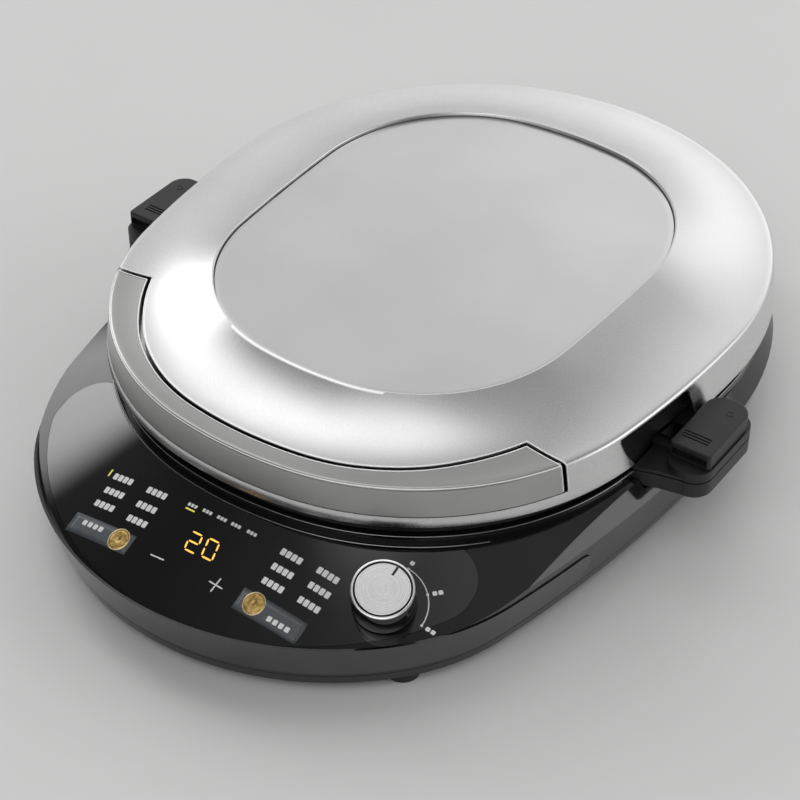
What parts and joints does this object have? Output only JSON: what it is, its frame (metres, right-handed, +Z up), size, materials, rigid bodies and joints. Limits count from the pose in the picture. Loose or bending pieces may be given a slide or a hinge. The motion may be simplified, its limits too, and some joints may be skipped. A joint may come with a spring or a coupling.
{
  "type": "electric baking pan",
  "caption": "Low countertop baking pan with a rounded hinged lid, two lift-out plates with side handles, a sloping glass control deck and a rotary dial.",
  "frame": {"origin": "middle of the footprint on the table, under the feet", "axes": "+Z up; -Y to the front, where the control deck is; +X to the right seen from the front"},
  "size_m": [0.3856, 0.483, 0.105],
  "materials": {
    "black_gloss": "gloss black moulding",
    "black_matte": "fine matte black",
    "frame_black": "matte heat-proof moulding",
    "silver_lid": "satin with faint brushing",
    "panel_silver": "brushed sheet",
    "handle_grey": "satin grey",
    "deck_glass": "black tinted glass",
    "trim_steel": "dark polished band",
    "dial_metal": "turned metal with polished edge",
    "plate_coat": "non-stick coat on cast aluminium",
    "sheet_metal": "bright sheet",
    "tube_metal": "dark oxidised tube",
    "plain_steel": "zinc-plated",
    "ceramic": "glazed ceramic",
    "circuit": "coated circuit board",
    "relay_blue": "moulded relay case",
    "display": "dark display window",
    "rubber": "matte rubber"
  },
  "bodies": {
    "base": {"base_screws": "plain_steel", "base_shell": "black_gloss", "base_tray": "black_gloss", "control_glass": "deck_glass", "cord_gland": "rubber", "dial_switch": "black_matte", "display_module": "display", "feet": "rubber", "front_trim": "trim_steel", "hinge_cover": "black_gloss", "hinge_guide_left": "black_matte", "hinge_guide_right": "black_matte", "lower_clips": "plain_steel", "lower_element": "tube_metal", "lower_handle_left": "black_matte", "lower_handle_right": "black_matte", "lower_handle_screws": "plain_steel", "lower_plate": "plate_coat", "lower_reflector": "sheet_metal", "lower_sensor": "sheet_metal", "lower_terminal": "ceramic", "power_board": "circuit", "power_relays": "relay_blue", "sensor_spring": "plain_steel", "thermal_fuse": "ceramic", "touch_board": "circuit", "touch_pads": "rubber"},
    "carrier": {"hinge_carrier_left": "plain_steel", "hinge_carrier_right": "plain_steel", "hinge_shaft": "plain_steel"},
    "dial": {"dial_body": "black_gloss", "dial_cap": "dial_metal", "dial_shaft": "plain_steel"},
    "latch_left": {"latch_slider_left": "black_matte", "latch_bolt_left": "plain_steel"},
    "latch_right": {"latch_slider_right": "black_matte", "latch_bolt_right": "plain_steel"},
    "lid": {"lid_shell": "silver_lid", "lid_panel": "panel_silver", "front_handle": "handle_grey", "front_handle_screws": "plain_steel", "lid_screws": "plain_steel", "lid_frame": "frame_black", "upper_reflector": "sheet_metal", "upper_element": "tube_metal", "upper_terminal": "ceramic", "upper_clips": "plain_steel", "upper_sensor": "sheet_metal", "upper_plate": "plate_coat", "upper_handle_left": "black_matte", "upper_handle_right": "black_matte", "upper_handle_screws": "plain_steel", "hinge_arm_left": "plain_steel", "hinge_arm_right": "plain_steel", "hinge_screws": "plain_steel"}
  },
  "joints": [
    {"name": "lid_float", "type": "slide", "parent": "base", "child": "carrier", "axis": [0, 0, 1], "range_m": [0, 0.012]},
    {"name": "lid_hinge", "type": "hinge", "parent": "carrier", "child": "lid", "pos_m": [0, 0.2295, 0.062], "axis": [-1, 0, 0], "range_deg": [0, 100]},
    {"name": "dial_turn", "type": "hinge", "parent": "base", "child": "dial", "pos_m": [0.09865, -0.17499, 0.04328], "axis": [-0.1856, 0.3254, -0.9272], "range_deg": [0, 90]},
    {"name": "latch_slide_left", "type": "slide", "parent": "lid", "child": "latch_left", "axis": [0, -1, 0], "range_m": [0, 0.006]},
    {"name": "latch_slide_right", "type": "slide", "parent": "lid", "child": "latch_right", "axis": [0, -1, 0], "range_m": [0, 0.006]}
  ]
}
